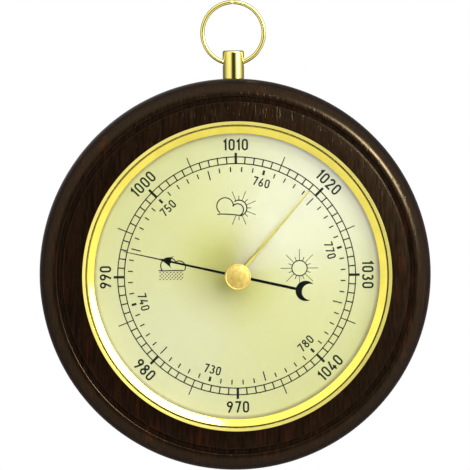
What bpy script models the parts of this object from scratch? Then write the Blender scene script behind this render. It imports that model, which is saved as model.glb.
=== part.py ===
"""Ship barometer: a turned wooden case on a hanging ring, with an aneroid movement behind the dial.

Every piece is drawn in the instrument's own frame, in millimetres: x to the right, y up and z
out of the wall, as a person facing the dial sees it. The empty `instrument` turns that frame so
that the dial faces -Y and +Z is up. The wall is z = 0, and the dial's centre is x = y = 0.
"""

import math

import bmesh
import bpy

MM = 0.001
TURN = 2 * math.pi

# Wooden case.
CASE_R = 85.0
BORE_R = 61.0
LAND_R = 75.0
LAND_Z = 34.0
REBATE_R = 67.0
REBATE_Z = 2.3
BEAD_R = 78.8
BEAD_Z = 33.2
SIDE_TOP_Z = 26.0

# Brass housing, dial, glass and bezel, from back to front.
CAN_R = 60.6
CAN_WALL = 0.9
CAN_BACK_Z = 3.0
FLANGE_Z = 34.3
FLANGE_T = 0.8
RIM_R = 67.1
RIM_INNER_R = 65.9
RIM_TOP_Z = 42.4
STACK_R = 65.2
DIAL_Z = 35.4
DIAL_T = 0.8
SPACER_INNER_R = 63.0
GLASS_Z = 39.2
GLASS_T = 1.8
BEZEL_INNER_R = 61.7
BEZEL_R = 65.25
BEZEL_Z = 41.3

# Back.
COVER_R = 66.6
COVER_T = 2.0
COVER_SCREW_R = 64.0
ACCESS_R = 3.5

# Hanger.
POST_Z = 22.0
POST_R = 4.65
POST_FOOT_Y = 85.3
POST_TOP_Y = 97.3
SHANK_R = 2.4
SHANK_FOOT_Y = 70.3
RING_HOLE_Y = 92.02
RING_HOLE_R = 1.65
RING_R = 13.35
RING_WIRE_R = 0.93
RING_LOW_Y = 91.62
RING_GAP_DEG = 2.2

# Movement: levels of the plates, and the gear train.
BASE_Z = 4.1
PLATE_T = 1.5
BASE_R = 50.0
LOWER_PLATE_Z = 19.0
BRIDGE_Z = 28.0
BRIDGE_T = 1.2
SECTOR_Z = 24.2
SECTOR_T = 0.8
GEAR_DISTANCE = 40.0
GEAR_RATIO = 15
PINION_TEETH = 10
MODULE = 0.5
TOOTH_TOP = 0.42
TOOTH_ROOT = 0.62
TOOTH_W = 0.54
TOOTH_TIP_W = 0.26
SECTOR_FIRST_TOOTH = -8
SECTOR_LAST_TOOTH = 3
PIVOT_Y = -GEAR_DISTANCE
ARBOR_R = 0.6
STAFF_R = 0.9
PIVOT_PLAY = 0.15
CAPSULE_Y = -34.0
CAPSULE_R = 17.0
CAPSULE_T = 0.5
CAPSULE_BACK_Z = 7.3
CAPSULE_FRONT_Z = 13.7
CAPSULE_RISE = 1.9
ROCKER_Z = 16.5
ROCKER_R = 1.0
ROCKER_HALF = 22.5
BRACKET_X = 20.5
BRACKET_SCREW_X = 23.4
TAIL_X = 3.0
PILLAR_PLACES = ((0.0, 12.0), (-28.0, -38.0), (28.0, -38.0))
BASE_SCREW_R = 45.0

# Hands. Angles are clockwise from the top of the dial.
PRESSURE_DEG = 282.8
PRESSURE_Z = 36.9
PRESSURE_T = 0.4
NEEDLE_TIP = 50.2
HEAD_FRONT = 33.7
HEAD_BACK = 28.3
HEAD_HALF = 2.8
CRESCENT_AT = 30.5
CRESCENT_R = 4.4
CRESCENT_BITE_AT = 32.4
CRESCENT_BITE_R = 3.5
SET_DEG = 40.9
SET_Z = 38.2
SET_T = 0.4
SET_TIP = 49.0
SPINDLE_R = 1.0
KNOB_R = 5.6
KNOB_Z = 42.7
KNOB_TOP_Z = 47.4

# Colour, roughness and metallic value of each finish.
FINISHES = {
    "dark_wood": ((0.030, 0.014, 0.009), 0.38, 0.0),
    "polished_brass": ((0.80, 0.60, 0.20), 0.18, 1.0),
    "movement_brass": ((0.70, 0.52, 0.22), 0.35, 1.0),
    "dial_champagne": ((0.66, 0.64, 0.36), 0.35, 0.3),
    "clear_glass": ((0.95, 0.97, 0.96), 0.03, 0.0),
    "hand_black": ((0.010, 0.011, 0.010), 0.45, 0.0),
    "steel": ((0.45, 0.45, 0.46), 0.30, 1.0),
    "capsule_nickel": ((0.62, 0.62, 0.60), 0.28, 1.0),
    "fibre_board": ((0.10, 0.065, 0.040), 0.75, 0.0),
}


# ---------------------------------------------------------------- tools


def clear_scene():
    for thing in list(bpy.data.objects):
        bpy.data.objects.remove(thing, do_unlink=True)


def make_finish(name):
    colour, roughness, metallic = FINISHES[name]
    finish = bpy.data.materials.new(name)
    finish.use_nodes = True
    shader = finish.node_tree.nodes["Principled BSDF"]
    shader.inputs["Base Color"].default_value = (*colour, 1.0)
    shader.inputs["Roughness"].default_value = roughness
    shader.inputs["Metallic"].default_value = metallic
    if name == "clear_glass":
        shader.inputs["Transmission Weight"].default_value = 1.0
    finish.diffuse_color = (*colour, 1.0)
    return finish


def new_empty(name, at, parent=None):
    empty = bpy.data.objects.new(name, None)
    bpy.context.scene.collection.objects.link(empty)
    empty.parent = parent
    empty.location = [value * MM for value in at]
    return empty


def place(name, mesh, finish, at=(0.0, 0.0, 0.0), turn=(0.0, 0.0, 0.0), parent=None):
    """One sub-part: `at` is its origin in millimetres and `turn` its rotation in radians."""
    piece = bpy.data.objects.new(name, mesh)
    bpy.context.scene.collection.objects.link(piece)
    piece.parent = parent or INSTRUMENT
    piece.location = [value * MM for value in at]
    piece.rotation_euler = turn
    if finish and not mesh.materials:
        mesh.materials.append(FINISH[finish])
    return piece


def finished(bm, name):
    """The mesh of a bmesh, closed, facing out and shaded smooth up to 35 degrees."""
    bmesh.ops.remove_doubles(bm, verts=bm.verts, dist=1e-7)
    bmesh.ops.recalc_face_normals(bm, faces=bm.faces)
    mesh = bpy.data.meshes.new(name)
    bm.to_mesh(mesh)
    bm.free()
    mesh.shade_smooth()
    mesh.set_sharp_from_angle(angle=math.radians(35))
    return mesh


def turned(name, profile, steps):
    """A profile of (radius, z) turned round z. One that starts and ends on the axis is solid,
    and any other is closed into a ring."""
    bm = bmesh.new()
    points = [bm.verts.new((radius * MM, 0.0, z * MM)) for radius, z in profile]
    for first, second in zip(points, points[1:]):
        bm.edges.new((first, second))
    if profile[0][0] > 0:
        bm.edges.new((points[-1], points[0]))
    bmesh.ops.spin(
        bm,
        geom=bm.verts[:] + bm.edges[:],
        cent=(0, 0, 0),
        axis=(0, 0, 1),
        dvec=(0, 0, 0),
        angle=TURN,
        steps=steps,
        use_merge=True,
    )
    return finished(bm, name)


def rod(name, radius, low, high, steps=16):
    return turned(name, [(0, low), (radius, low), (radius, high), (0, high)], steps)


def tube(name, inner, outer, low, high, steps=24):
    return turned(name, [(inner, low), (outer, low), (outer, high), (inner, high)], steps)


def arc(radius, start_deg, end_deg, count, centre=(0.0, 0.0), squash=1.0):
    """Points along an arc, with both ends. Angles run anticlockwise from +x."""
    angles = [
        math.radians(start_deg + (end_deg - start_deg) * i / (count - 1)) for i in range(count)
    ]
    return [
        (centre[0] + radius * math.cos(a), centre[1] + radius * squash * math.sin(a))
        for a in angles
    ]


def circle(radius, count=12, centre=(0.0, 0.0)):
    return arc(radius, 0, 360 * (count - 1) / count, count, centre)


def polar(radius, deg_from_top):
    """A point at this angle anticlockwise from +y."""
    angle = math.radians(deg_from_top)
    return (-radius * math.sin(angle), radius * math.cos(angle))


def plate(name, outline, holes, low, high):
    """A flat plate between two heights, from an outline of (x, y) and the outlines of its holes."""
    curve = bpy.data.curves.new(name, "CURVE")
    curve.dimensions = "2D"
    curve.fill_mode = "BOTH"
    curve.extrude = (high - low) / 2 * MM
    for loop in (outline, *holes):
        spline = curve.splines.new("POLY")
        spline.points.add(len(loop) - 1)
        spline.use_cyclic_u = True
        for point, (x, y) in zip(spline.points, loop):
            point.co = (x * MM, y * MM, 0.0, 1.0)
    draft = bpy.data.objects.new(name, curve)
    filled = bpy.data.meshes.new_from_object(draft)
    bpy.data.objects.remove(draft)
    bm = bmesh.new()
    bm.from_mesh(filled)
    bmesh.ops.translate(bm, verts=bm.verts, vec=(0.0, 0.0, (low + high) / 2 * MM))
    return finished(bm, name)


def hull_outline(places, radius, per_corner=9):
    """The outline round discs of one radius at the corners of a convex shape, anticlockwise."""
    outline = []
    count = len(places)
    for i, corner in enumerate(places):
        before = places[i - 1]
        after = places[(i + 1) % count]
        start = math.degrees(math.atan2(before[0] - corner[0], corner[1] - before[1]))
        end = math.degrees(math.atan2(corner[0] - after[0], after[1] - corner[1]))
        while end < start:
            end += 360
        outline += arc(radius, start, end, per_corner, corner)
    return outline


def mirrored(right_side):
    """A closed outline from its right-hand points (half-width, along), tip first, tail last."""
    left_side = [(-x, y) for x, y in reversed(right_side) if x > 0]
    return right_side + left_side


def cut(piece, cutter_mesh, at=(0.0, 0.0, 0.0), turn=(0.0, 0.0, 0.0)):
    """Cuts a helper solid out of a piece. The helper is placed in the piece's own frame."""
    cutter = place(piece.name + "_cutter", cutter_mesh, None, at, turn, piece)
    cutter.hide_render = True
    cutter.display_type = "WIRE"
    boolean = piece.modifiers.new("cut", "BOOLEAN")
    boolean.operation = "DIFFERENCE"
    boolean.solver = "EXACT"
    boolean.object = cutter


def slot_mesh(width, length, low, high):
    half_w = width / 2
    half_l = length / 2
    outline = [(-half_l, -half_w), (half_l, -half_w), (half_l, half_w), (-half_l, half_w)]
    return plate("slot", outline, [], low, high)


def screw(name, finish, at, head_r, head_t, shank_r, shank, turn=(0.0, 0.0, 0.0), slot_deg=0.0):
    """A slotted cheese-head screw. Its origin is under the head, and the head points along +z."""
    profile = [
        (0, -shank),
        (shank_r, -shank),
        (shank_r, 0),
        (head_r, 0),
        (head_r, head_t),
        (0, head_t),
    ]
    piece = place(name, turned(name, profile, 12), finish, at, turn)
    slot_turn = (0.0, 0.0, math.radians(slot_deg))
    deep = slot_mesh(head_r * 0.32, head_r * 3, head_t * 0.5, head_t * 2)
    cut(piece, deep, turn=slot_turn)
    return piece


# ---------------------------------------------------------------- case


def case_profile():
    side = [
        (REBATE_R, 0),
        (79.0, 0),
        (82.4, 2.6),
        (84.4, 7.5),
        (CASE_R, 14.0),
    ]
    bead = arc(CASE_R - BEAD_R, 0, 90, 7, (BEAD_R, SIDE_TOP_Z), (BEAD_Z - SIDE_TOP_Z) / (CASE_R - BEAD_R))
    inner_flank = arc(2.4, 110, 150, 3, (BEAD_R, BEAD_Z - 4.0), 4.0 / 2.4)
    step = [(76.4, 32.3), (75.8, 33.5), (LAND_R, LAND_Z)]
    bore = [(BORE_R, LAND_Z), (BORE_R, REBATE_Z), (REBATE_R, REBATE_Z)]
    return side + bead + inner_flank + step + bore


def wood_case():
    case = place("wood_case", turned("wood_case", case_profile(), 60), "dark_wood")
    shank_hole = rod("shank_hole", SHANK_R + 0.3, SHANK_FOOT_Y - 0.4, CASE_R + 3, 14)
    cut(case, shank_hole, at=(0, 0, POST_Z), turn=(-math.pi / 2, 0, 0))
    for deg in cover_screw_angles():
        x, y = polar(COVER_SCREW_R, deg)
        cut(case, rod("pilot_hole", 1.3, REBATE_Z - 1.0, 10.4, 10), at=(x, y, 0))


def cover_screw_angles():
    return [45 + 90 * i for i in range(4)]


def back_cover():
    holes = [circle(2.5, 12, polar(COVER_SCREW_R, deg)) for deg in cover_screw_angles()]
    holes.append(circle(ACCESS_R, 20, (0.0, CAPSULE_Y)))
    place("back_cover", plate("back_cover", circle(COVER_R, 56), holes, 0.0, COVER_T), "fibre_board")
    for number, deg in enumerate(cover_screw_angles(), 1):
        x, y = polar(COVER_SCREW_R, deg)
        screw(f"cover_screw_{number}", "steel", (x, y, 1.7), 2.1, 1.3, 1.0, 7.7, (math.pi, 0, 0), deg)


def housing_can():
    wall = CAN_R - CAN_WALL
    bottom = CAN_BACK_Z + 0.8
    profile = [
        (0, CAN_BACK_Z),
        (CAN_R - 1.2, CAN_BACK_Z),
        (CAN_R, CAN_BACK_Z + 1.2),
        (CAN_R, FLANGE_Z),
        (RIM_R - 0.3, FLANGE_Z),
        (RIM_R, FLANGE_Z + 0.4),
        (RIM_R, RIM_TOP_Z - 0.6),
        (RIM_R - 0.35, RIM_TOP_Z - 0.1),
        (RIM_INNER_R + 0.35, RIM_TOP_Z),
        (RIM_INNER_R, RIM_TOP_Z - 0.4),
        (RIM_INNER_R, FLANGE_Z + FLANGE_T),
        (wall, FLANGE_Z + FLANGE_T),
        (wall, bottom),
        (0, bottom),
    ]
    can = place("housing_can", turned("housing_can", profile, 52), "polished_brass")
    low = CAN_BACK_Z - 1
    cut(can, rod("head_hole", 3.2, low, bottom + 1, 16), at=(0, CAPSULE_Y, 0))
    for x, y in base_screw_places():
        cut(can, rod("screw_hole", 1.4, low, bottom + 1, 10), at=(x, y, 0))


def dial_plate():
    disc = plate("dial_plate", circle(STACK_R, 64), [circle(3.0, 16)], DIAL_Z, DIAL_Z + DIAL_T)
    place("dial_plate", disc, "dial_champagne")


def spacer_ring():
    low = DIAL_Z + DIAL_T + 0.3
    ring = tube("spacer_ring", SPACER_INNER_R, STACK_R, low, GLASS_Z - 0.3, 56)
    place("spacer_ring", ring, "polished_brass")


def glass():
    outline = circle(STACK_R, 64)
    disc = plate("glass", outline, [circle(2.2, 16)], GLASS_Z, GLASS_Z + GLASS_T)
    place("glass", disc, "clear_glass")


def bezel_ring():
    profile = [
        (BEZEL_INNER_R, BEZEL_Z),
        (BEZEL_R, BEZEL_Z),
        (BEZEL_R, BEZEL_Z + 0.8),
        (BEZEL_R - 0.9, BEZEL_Z + 1.5),
        (BEZEL_INNER_R + 1.2, BEZEL_Z + 1.2),
        (BEZEL_INNER_R + 0.2, BEZEL_Z + 0.5),
    ]
    place("bezel_ring", turned("bezel_ring", profile, 56), "polished_brass")


# ---------------------------------------------------------------- hanger


def hanger_post():
    profile = [
        (0, SHANK_FOOT_Y),
        (SHANK_R - 0.5, SHANK_FOOT_Y),
        (SHANK_R, SHANK_FOOT_Y + 0.8),
        (SHANK_R, POST_FOOT_Y),
        (POST_R, POST_FOOT_Y),
        (POST_R, POST_TOP_Y - 1.0),
        (POST_R - 0.3, POST_TOP_Y - 0.3),
        (POST_R - 1.0, POST_TOP_Y),
        (0, POST_TOP_Y),
    ]
    at = (0, 0, POST_Z)
    upright = (-math.pi / 2, 0, 0)
    post = place("hanger_post", turned("hanger_post", profile, 28), "polished_brass", at, upright)
    cross_hole = rod("cross_hole", RING_HOLE_R, -POST_R - 2, POST_R + 2, 16)
    cut(post, cross_hole, at=(0, 0, RING_HOLE_Y), turn=(0, math.pi / 2, 0))


def hanging_ring():
    """A wire bent round with its two ends almost meeting at the top, on the axis of the post's
    cross hole."""
    hinge = new_empty("ring_hinge", (0, RING_HOLE_Y, POST_Z), INSTRUMENT)
    middle = RING_LOW_Y + RING_R - RING_HOLE_Y
    bm = bmesh.new()
    across = circle(RING_WIRE_R, 8)
    start = math.radians(90 + RING_GAP_DEG / 2)
    section = []
    for outward, forward in across:
        radius = RING_R + outward
        x = radius * math.cos(start)
        y = middle + radius * math.sin(start)
        section.append(bm.verts.new((x * MM, y * MM, forward * MM)))
    for first, second in zip(section, section[1:] + section[:1]):
        bm.edges.new((first, second))
    bmesh.ops.spin(
        bm,
        geom=bm.verts[:] + bm.edges[:],
        cent=(0, middle * MM, 0),
        axis=(0, 0, 1),
        dvec=(0, 0, 0),
        angle=TURN - math.radians(RING_GAP_DEG),
        steps=40,
        use_merge=False,
    )
    bmesh.ops.holes_fill(bm, edges=bm.edges, sides=0)
    place("hanging_ring", finished(bm, "hanging_ring"), "polished_brass", parent=hinge)


# ---------------------------------------------------------------- set hand


def set_hand_group():
    axis = new_empty("set_axis", (0, 0, 0), INSTRUMENT)
    right_side = [(0.33, SET_TIP - 0.6), (0.55, 24.0), (0.80, 11.6), (1.25, 11.0), (1.35, 3.4)]
    boss = arc(3.2, 58, -90, 12)
    outline = mirrored([(0, SET_TIP)] + right_side + boss)
    hand = plate("set_hand", outline, [circle(1.15, 14)], SET_Z, SET_Z + SET_T)
    place("set_hand", hand, "polished_brass", turn=(0, 0, -math.radians(SET_DEG)), parent=axis)
    spindle = rod("set_spindle", SPINDLE_R, SET_Z - 0.25, KNOB_Z + 2.0)
    place("set_spindle", spindle, "steel", parent=axis)
    washer = tube("friction_washer", 1.25, 3.8, KNOB_Z - 0.6, KNOB_Z - 0.3, 20)
    place("friction_washer", washer, "steel", parent=axis)
    profile = [
        (0, KNOB_TOP_Z),
        (2.2, KNOB_TOP_Z - 0.16),
        (4.1, KNOB_TOP_Z - 0.8),
        (5.1, KNOB_TOP_Z - 1.7),
        (KNOB_R, KNOB_TOP_Z - 2.2),
        (KNOB_R, KNOB_Z + 0.7),
        (KNOB_R - 0.6, KNOB_Z),
        (SPINDLE_R + 0.15, KNOB_Z),
        (SPINDLE_R + 0.15, KNOB_Z + 2.3),
        (0, KNOB_Z + 2.3),
    ]
    place("set_knob", turned("set_knob", profile, 26), "polished_brass", parent=axis)


def glass_bush():
    low = GLASS_Z - 0.3
    top = GLASS_Z + GLASS_T + 0.3
    bore = SPINDLE_R + 0.15
    profile = [(bore, low), (1.9, low), (1.9, top), (3.4, top), (3.4, top + 0.5), (bore, top + 0.5)]
    place("glass_bush", turned("glass_bush", profile, 20), "polished_brass")


# ---------------------------------------------------------------- pressure hand and arbor


def pressure_outline():
    """The hand along +y: a needle, an arrowhead and, on the tail, a crescent open outwards."""
    head = [
        (0.15, NEEDLE_TIP),
        (0.26, HEAD_FRONT),
        (0.90, HEAD_FRONT - 1.5),
        (1.75, HEAD_FRONT - 3.2),
        (HEAD_HALF, HEAD_BACK),
        (1.30, HEAD_BACK + 0.9),
        (0.38, HEAD_BACK + 1.2),
    ]
    boss = arc(3.0, 79, -78, 11)
    near = CRESCENT_AT - CRESCENT_R
    apart = CRESCENT_BITE_AT - CRESCENT_AT
    horn_along = (apart**2 + CRESCENT_R**2 - CRESCENT_BITE_R**2) / (2 * apart)
    outer_end = math.degrees(math.acos(horn_along / CRESCENT_R))
    bite_end = math.degrees(math.acos((horn_along - apart) / CRESCENT_BITE_R))
    outer = arc(CRESCENT_R, 82, -90 + outer_end, 10, (0.0, -CRESCENT_AT))
    bite = arc(CRESCENT_BITE_R, -90 + bite_end, 90, 9, (0.0, -CRESCENT_BITE_AT))
    tail = [(0.62, -near + 0.3)]
    right_side = head + boss + tail + outer + bite[1:-1]
    left_side = [(-x, y) for x, y in reversed(right_side)]
    return right_side + [(0.0, bite[-1][1])] + left_side


def pressure_hand_group():
    axis = new_empty("pressure_axis", (0, 0, 0), INSTRUMENT)
    turn = (0, 0, -math.radians(PRESSURE_DEG))
    top = PRESSURE_Z + PRESSURE_T
    hand = plate("pressure_hand", pressure_outline(), [circle(1.9, 16)], PRESSURE_Z, top)
    place("pressure_hand", hand, "hand_black", turn=turn, parent=axis)
    boss = tube("hand_boss", ARBOR_R + 0.15, 1.6, PRESSURE_Z - 0.4, top + 0.3, 16)
    place("hand_boss", boss, "movement_brass", parent=axis)
    arbor = rod("hand_arbor", ARBOR_R, LOWER_PLATE_Z + 0.1, top + 0.2, 12)
    place("hand_arbor", arbor, "steel", parent=axis)
    collet = tube("hairspring_collet", ARBOR_R + 0.15, 1.55, 26.1, 27.3, 14)
    place("hairspring_collet", collet, "movement_brass", parent=axis)
    pinion_gear = plate("pinion", pinion_outline(), [circle(ARBOR_R + 0.15, 12)], 23.4, 25.8)
    place("pinion", pinion_gear, "movement_brass", parent=axis)
    spiral = plate("hairspring", hairspring_outline(), [], 26.3, 27.1)
    place("hairspring", spiral, "steel", parent=axis)


def tooth(root_r, tip_r, pitch_r, middle_deg):
    """Four corners of a tapered tooth, in the order of growing angle from +y."""
    root_half = math.degrees(TOOTH_W / 2 / pitch_r) * 1.25
    tip_half = math.degrees(TOOTH_TIP_W / 2 / tip_r)
    return [
        polar(root_r, middle_deg - root_half),
        polar(tip_r, middle_deg - tip_half),
        polar(tip_r, middle_deg + tip_half),
        polar(root_r, middle_deg + root_half),
    ]


def pinion_outline():
    """Ten teeth, one of them pointing at the sector's pivot."""
    pitch_r = MODULE * PINION_TEETH / 2
    outline = []
    for number in range(PINION_TEETH):
        middle = 180 + 360 * number / PINION_TEETH
        outline += tooth(pitch_r - TOOTH_ROOT, pitch_r + TOOTH_TOP, pitch_r, middle)
    return outline


def hairspring_outline():
    """A flat strip wound four turns outwards from the collet to the stud."""
    turns = 4
    inner, outer, half_strip = 1.95, 6.7, 0.11
    steps = turns * 12
    near, far = [], []
    for i in range(steps + 1):
        share = i / steps
        radius = inner + (outer - inner) * share
        angle = TURN * turns * share
        direction = (math.cos(angle), math.sin(angle))
        near.append(tuple((radius - half_strip) * part for part in direction))
        far.append(tuple((radius + half_strip) * part for part in direction))
    return far + near[::-1]


def hairspring_stud():
    stud = rod("hairspring_stud", 0.6, 25.9, BRIDGE_Z - 0.3, 10)
    place("hairspring_stud", stud, "movement_brass", at=(7.75, 0, 0))


# ---------------------------------------------------------------- sector


def sector_outline():
    """A web from the pivot to a toothed arc. The teeth straddle +y, where the pinion is."""
    pitch_r = MODULE * PINION_TEETH * GEAR_RATIO / 2
    step = 360 / (PINION_TEETH * GEAR_RATIO)
    root_r = pitch_r - TOOTH_ROOT
    teeth = []
    for number in range(SECTOR_FIRST_TOOTH, SECTOR_LAST_TOOTH + 1):
        teeth += tooth(root_r, pitch_r + TOOTH_TOP, pitch_r, (number + 0.5) * step)
    right_deg, left_deg = sector_ends()
    right = [polar(root_r - 2.6, right_deg), polar(root_r, right_deg)]
    left = [polar(root_r, left_deg), polar(root_r - 2.6, left_deg)]
    hub = arc(4.3, 90 + left_deg + 55, 450 + right_deg - 55, 12)
    return right + teeth + left + hub


def sector_ends():
    step = 360 / (PINION_TEETH * GEAR_RATIO)
    return (SECTOR_FIRST_TOOTH - 0.4) * step, (SECTOR_LAST_TOOTH + 1.4) * step


def sector_window():
    right_deg, left_deg = sector_ends()
    middle = (right_deg + left_deg) / 2
    half = (left_deg - right_deg) / 2
    near, far = 13.0, 31.0
    near_half = half - 11.0
    far_half = half - 5.0
    near_arc = arc(near, 90 + middle - near_half, 90 + middle + near_half, 3)
    far_arc = arc(far, 90 + middle + far_half, 90 + middle - far_half, 6)
    return near_arc + far_arc


def sector_group():
    pivot = new_empty("sector_pivot", (0, PIVOT_Y, 0), INSTRUMENT)
    holes = [circle(STAFF_R + 0.15, 14), sector_window()]
    gear = plate("sector_gear", sector_outline(), holes, SECTOR_Z, SECTOR_Z + SECTOR_T)
    place("sector_gear", gear, "movement_brass", parent=pivot)
    staff = rod("sector_staff", STAFF_R, LOWER_PLATE_Z + 0.1, BRIDGE_Z + BRIDGE_T - 0.1, 14)
    place("sector_staff", staff, "steel", parent=pivot)
    top = SECTOR_Z + SECTOR_T
    collar = tube("sector_collet", STAFF_R + 0.15, 2.6, top + 0.3, top + 1.4, 16)
    place("sector_collet", collar, "movement_brass", parent=pivot)
    pin = rod("tail_pin", 0.6, SECTOR_Z - 1.7, SECTOR_Z - 0.3, 10)
    place("tail_pin", pin, "steel", at=(TAIL_X, 0, 0), parent=pivot)


# ---------------------------------------------------------------- rocker


def side_on(outline, holes, name, thickness):
    """A plate whose outline is (y, z) and whose thickness is along x, centred on x = 0."""
    return plate(name, outline, holes, -thickness / 2, thickness / 2)


SIDE_TURN = (math.pi / 2, 0.0, math.pi / 2)


def short_arm_outline():
    """From the hub on the rocker shaft out to the top of the capsule pin."""
    reach = CAPSULE_Y - PIVOT_Y
    hub = arc(2.2, 40, 320, 13)
    nose = [(reach - 0.4, -0.6), (reach + 1.0, -0.6), (reach + 1.2, 0.1), (reach + 0.4, 0.7)]
    return hub + nose


def fork_arm_outline():
    """Up from the hub to a fork that is open at the top and takes the sector's tail pin."""
    top = 7.4
    slot_floor = 5.5
    slot_half = 0.95
    half = 1.8
    hub = arc(2.2, 145, 395, 13)
    return hub + [
        (half, top),
        (slot_half, top),
        (slot_half, slot_floor),
        (-slot_half, slot_floor),
        (-slot_half, top),
        (-half, top),
    ]


def rocker_group():
    pivot = new_empty("rocker_pivot", (0, PIVOT_Y, ROCKER_Z), INSTRUMENT)
    shaft = rod("rocker_shaft", ROCKER_R, -ROCKER_HALF, ROCKER_HALF, 14)
    place("rocker_shaft", shaft, "steel", turn=(0, math.pi / 2, 0), parent=pivot)
    hole = circle(ROCKER_R + 0.15, 14)
    short = side_on(short_arm_outline(), [hole], "short_arm", 1.2)
    place("short_arm", short, "movement_brass", turn=SIDE_TURN, parent=pivot)
    fork = side_on(fork_arm_outline(), [hole], "fork_arm", 1.6)
    place("fork_arm", fork, "movement_brass", at=(TAIL_X, 0, 0), turn=SIDE_TURN, parent=pivot)


def rocker_brackets():
    """Two angle brackets whose uprights carry the shaft and whose feet turn outwards."""
    foot_z = BASE_Z + PLATE_T + 0.3
    upright_top = ROCKER_Z + 2.3
    outline = [(-0.6, foot_z), (4.8, foot_z), (4.8, foot_z + 1.2), (0.6, foot_z + 1.2)]
    outline += [(0.6, upright_top), (-0.6, upright_top)]
    for side, name in ((-1, "bracket_left"), (1, "bracket_right")):
        mesh = plate(name, outline, [], -3.0, 3.0)
        about_up = 0.0 if side > 0 else math.pi
        holder = new_empty(name + "_place", (side * BRACKET_X, PIVOT_Y, 0), INSTRUMENT)
        holder.rotation_euler = (0, 0, about_up)
        bracket = place(name, mesh, "movement_brass", turn=(math.pi / 2, 0, 0), parent=holder)
        shaft_hole = rod("shaft_hole", ROCKER_R + 0.15, -2, 2, 14)
        cut(bracket, shaft_hole, at=(0, ROCKER_Z, 0), turn=(0, math.pi / 2, 0))
        foot_hole = rod("foot_hole", 1.1, foot_z - 1, foot_z + 2, 10)
        cut(bracket, foot_hole, at=(BRACKET_SCREW_X - BRACKET_X, 0, 0), turn=(-math.pi / 2, 0, 0))
        at = (side * BRACKET_SCREW_X, PIVOT_Y, foot_z + 1.5)
        screw(name.replace("bracket", "bracket_screw"), "steel", at, 1.6, 1.0, 0.8, 2.4)


# ---------------------------------------------------------------- capsule


def capsule_rise(radius):
    """Height of the corrugated diaphragm above its rim, from the hub to the rim."""
    hub_r = 4.0
    share = max(0.0, (radius - hub_r) / (CAPSULE_R - hub_r))
    ripple = 0.28 * math.sin(3.5 * TURN * share) * math.sin(math.pi * share)
    return CAPSULE_RISE * (1 - share**3) + ripple


def capsule_half():
    """One dished half, its rim at z = 0 and its hub at the top."""
    radii = [4.0 + (CAPSULE_R - 4.0) * i / 9 for i in range(10)]
    upper = [(0, CAPSULE_RISE + 0.2)] + [(r, capsule_rise(r)) for r in radii]
    lower = [(r, capsule_rise(r) - CAPSULE_T) for r in reversed(radii)]
    return turned("capsule_half", upper + lower + [(0, CAPSULE_RISE - CAPSULE_T)], 24)


def capsule_group():
    seat_z = CAPSULE_BACK_Z + CAPSULE_RISE + 0.2
    half_over = (math.pi, 0, 0)
    at = (0, CAPSULE_Y, seat_z)
    place("capsule_lower", capsule_half(), "capsule_nickel", at, half_over)
    slide = new_empty("capsule_slide", (0, CAPSULE_Y, 0), INSTRUMENT)
    crown_z = CAPSULE_FRONT_Z - CAPSULE_RISE - 0.2
    upper = capsule_half()
    place("capsule_upper", upper, "capsule_nickel", at=(0, 0, crown_z), parent=slide)
    pin = rod("capsule_pin", 1.1, CAPSULE_FRONT_Z + 0.3, ROCKER_Z - 0.9, 12)
    place("capsule_pin", pin, "steel", parent=slide)


def adjusting_screw():
    """The screw that carries the capsule. Its slotted head faces the hole in the back cover."""
    head_front = CAN_BACK_Z + 0.9
    shank = CAPSULE_BACK_Z - 0.3 - head_front
    at = (0, CAPSULE_Y, head_front)
    screw("adjusting_screw", "movement_brass", at, 2.6, 1.2, 1.8, shank, (math.pi, 0, 0), 20.0)


# ---------------------------------------------------------------- plates and pillars


def base_screw_places():
    return [polar(BASE_SCREW_R, deg) for deg in (0, 120, 240)]


def base_plate():
    holes = [circle(1.4, 10, spot) for spot in base_screw_places()]
    holes.append(circle(2.0, 14, (0.0, CAPSULE_Y)))
    holes += [circle(1.1, 10, (side * BRACKET_SCREW_X, PIVOT_Y)) for side in (-1, 1)]
    top = BASE_Z + PLATE_T
    base = plate("base_plate", circle(BASE_R, 44), holes, BASE_Z, top)
    place("base_plate", base, "movement_brass")
    for number, (x, y) in enumerate(base_screw_places(), 1):
        at = (x, y, top + 0.3)
        screw(f"base_screw_{number}", "steel", at, 2.2, 1.2, 1.1, top + 0.3 - CAN_BACK_Z)


def train_plate(name, low, high, holes):
    outline = hull_outline(PILLAR_PLACES, 6.5)
    screw_holes = [circle(1.1, 10, spot) for spot in PILLAR_PLACES]
    mesh = plate(name, outline, screw_holes + holes, low, high)
    place(name, mesh, "movement_brass")


def lower_plate():
    fork_window = [(1.9, -42.9), (4.1, -42.9), (4.1, -37.1), (1.9, -37.1)]
    pivots = [circle(ARBOR_R + PIVOT_PLAY, 12)]
    pivots.append(circle(STAFF_R + PIVOT_PLAY, 14, (0.0, PIVOT_Y)))
    train_plate("lower_plate", LOWER_PLATE_Z, LOWER_PLATE_Z + BRIDGE_T, pivots + [fork_window])


def upper_bridge():
    pivots = [circle(ARBOR_R + PIVOT_PLAY, 12)]
    pivots.append(circle(STAFF_R + PIVOT_PLAY, 14, (0.0, PIVOT_Y)))
    window = [(-7.0, -10.0), (-15.5, -31.0), (15.5, -31.0), (7.0, -10.0)]
    train_plate("upper_bridge", BRIDGE_Z, BRIDGE_Z + BRIDGE_T, pivots + [window])


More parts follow.
